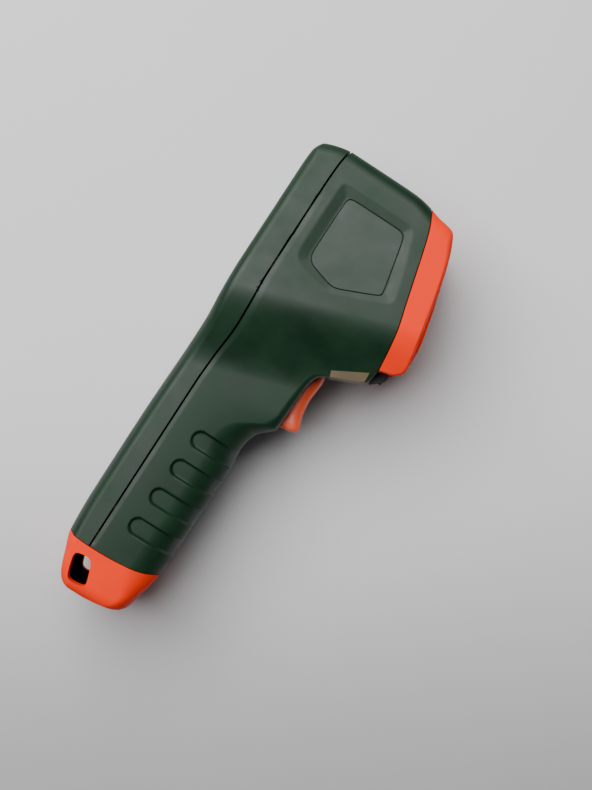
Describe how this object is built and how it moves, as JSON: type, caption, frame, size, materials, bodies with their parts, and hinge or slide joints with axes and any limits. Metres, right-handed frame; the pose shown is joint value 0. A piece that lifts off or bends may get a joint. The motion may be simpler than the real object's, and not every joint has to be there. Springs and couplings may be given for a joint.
{
  "type": "imaging infrared thermometer",
  "caption": "Pistol-grip imaging infrared thermometer with trigger, hinged port door, sliding lens cover, keys and an end cap with a lanyard slot.",
  "frame": {"origin": "middle of the bounding box's base: the left side of the head rests on the ground plane", "axes": "+X from the display to the lens, +Y from the end cap to the head top, +Z across the width, out of the right side"},
  "size_m": [0.0802, 0.2098, 0.064],
  "materials": {
    "green": "fine-textured soft-touch moulding",
    "orange": "satin moulding",
    "black": "satin moulding",
    "rubber": "matt",
    "clear": "smooth, dark behind",
    "lens": "coated, smooth",
    "steel": "plated",
    "brass": "turned",
    "board": "solder-masked board",
    "alloy": "machined",
    "cell": "shrink sleeve",
    "plate": "blank satin plate",
    "label": "blank film label"
  },
  "bodies": {
    "housing": {"front_housing": "green", "rear_shell": "green", "front_bezel": "orange", "end_cap": "orange", "side_plate_right": "plate", "side_plate_left": "plate", "underside_label": "label", "front_panel": "black", "lens_hood": "black", "lens_barrel": "alloy", "ir_lens": "lens", "thermal_core": "alloy", "camera_lens": "clear", "camera_module": "black", "laser_window": "clear", "laser_module": "brass", "lamp_lens": "clear", "lamp_board": "board", "optics_carrier": "alloy", "display_window": "clear", "display_gasket": "rubber", "display_panel": "black", "main_board": "board", "keypad_board": "board", "keypad_sheet": "rubber", "trigger_pin": "steel", "trigger_spring": "steel", "trigger_switch": "black", "battery": "cell", "battery_holder": "black", "battery_contact_low": "steel", "battery_contact_high": "steel", "tripod_insert": "brass", "cap_screw_right": "steel", "cap_screw_left": "steel", "port_door_pin": "steel", "usb_socket": "steel", "card_socket": "alloy", "port_board": "board", "screw_plug_low_right": "green", "screw_plug_low_left": "green", "screw_plug_head_right": "green", "screw_plug_head_left": "green", "housing_screw_low_right": "steel", "housing_screw_low_left": "steel", "housing_screw_head_right": "steel", "housing_screw_head_left": "steel"},
    "trigger": {"trigger": "orange"},
    "port_door": {"port_door": "green"},
    "lens_shutter": {"lens_shutter": "black"},
    "key_menu": {"key_menu": "rubber"},
    "key_up": {"key_up": "rubber"},
    "key_down": {"key_down": "rubber"},
    "key_left": {"key_left": "rubber"},
    "key_right": {"key_right": "rubber"},
    "key_power": {"key_power": "rubber"}
  },
  "joints": [
    {"name": "trigger_turn", "type": "hinge", "parent": "housing", "child": "trigger", "pos_m": [0.0101, 0.02755, 0.032], "axis": [0, 0, -1], "range_deg": [0, 6.5], "stiffness_Nm_per_rad": 0.3, "springref_deg": -14.32},
    {"name": "port_door_hinge", "type": "hinge", "parent": "housing", "child": "port_door", "pos_m": [0.0048, 0.10285, 0.032], "axis": [0, 0, -1], "range_deg": [0, 100]},
    {"name": "lens_shutter_slide", "type": "slide", "parent": "housing", "child": "lens_shutter", "axis": [0, 0, -1], "range_m": [0, 0.008]},
    {"name": "key_menu_press", "type": "slide", "parent": "housing", "child": "key_menu", "axis": [1, 0, 0], "range_m": [0, 0.0008], "stiffness_N_per_m": 700, "springref_m": -0.0005},
    {"name": "key_up_press", "type": "slide", "parent": "housing", "child": "key_up", "axis": [1, 0, 0], "range_m": [0, 0.0008], "stiffness_N_per_m": 700, "springref_m": -0.0005},
    {"name": "key_down_press", "type": "slide", "parent": "housing", "child": "key_down", "axis": [1, 0, 0], "range_m": [0, 0.0008], "stiffness_N_per_m": 700, "springref_m": -0.0005},
    {"name": "key_left_press", "type": "slide", "parent": "housing", "child": "key_left", "axis": [1, 0, 0], "range_m": [0, 0.0008], "stiffness_N_per_m": 700, "springref_m": -0.0005},
    {"name": "key_right_press", "type": "slide", "parent": "housing", "child": "key_right", "axis": [1, 0, 0], "range_m": [0, 0.0008], "stiffness_N_per_m": 700, "springref_m": -0.0005},
    {"name": "key_power_press", "type": "slide", "parent": "housing", "child": "key_power", "axis": [1, 0, 0], "range_m": [0, 0.0008], "stiffness_N_per_m": 700, "springref_m": -0.0005}
  ]
}
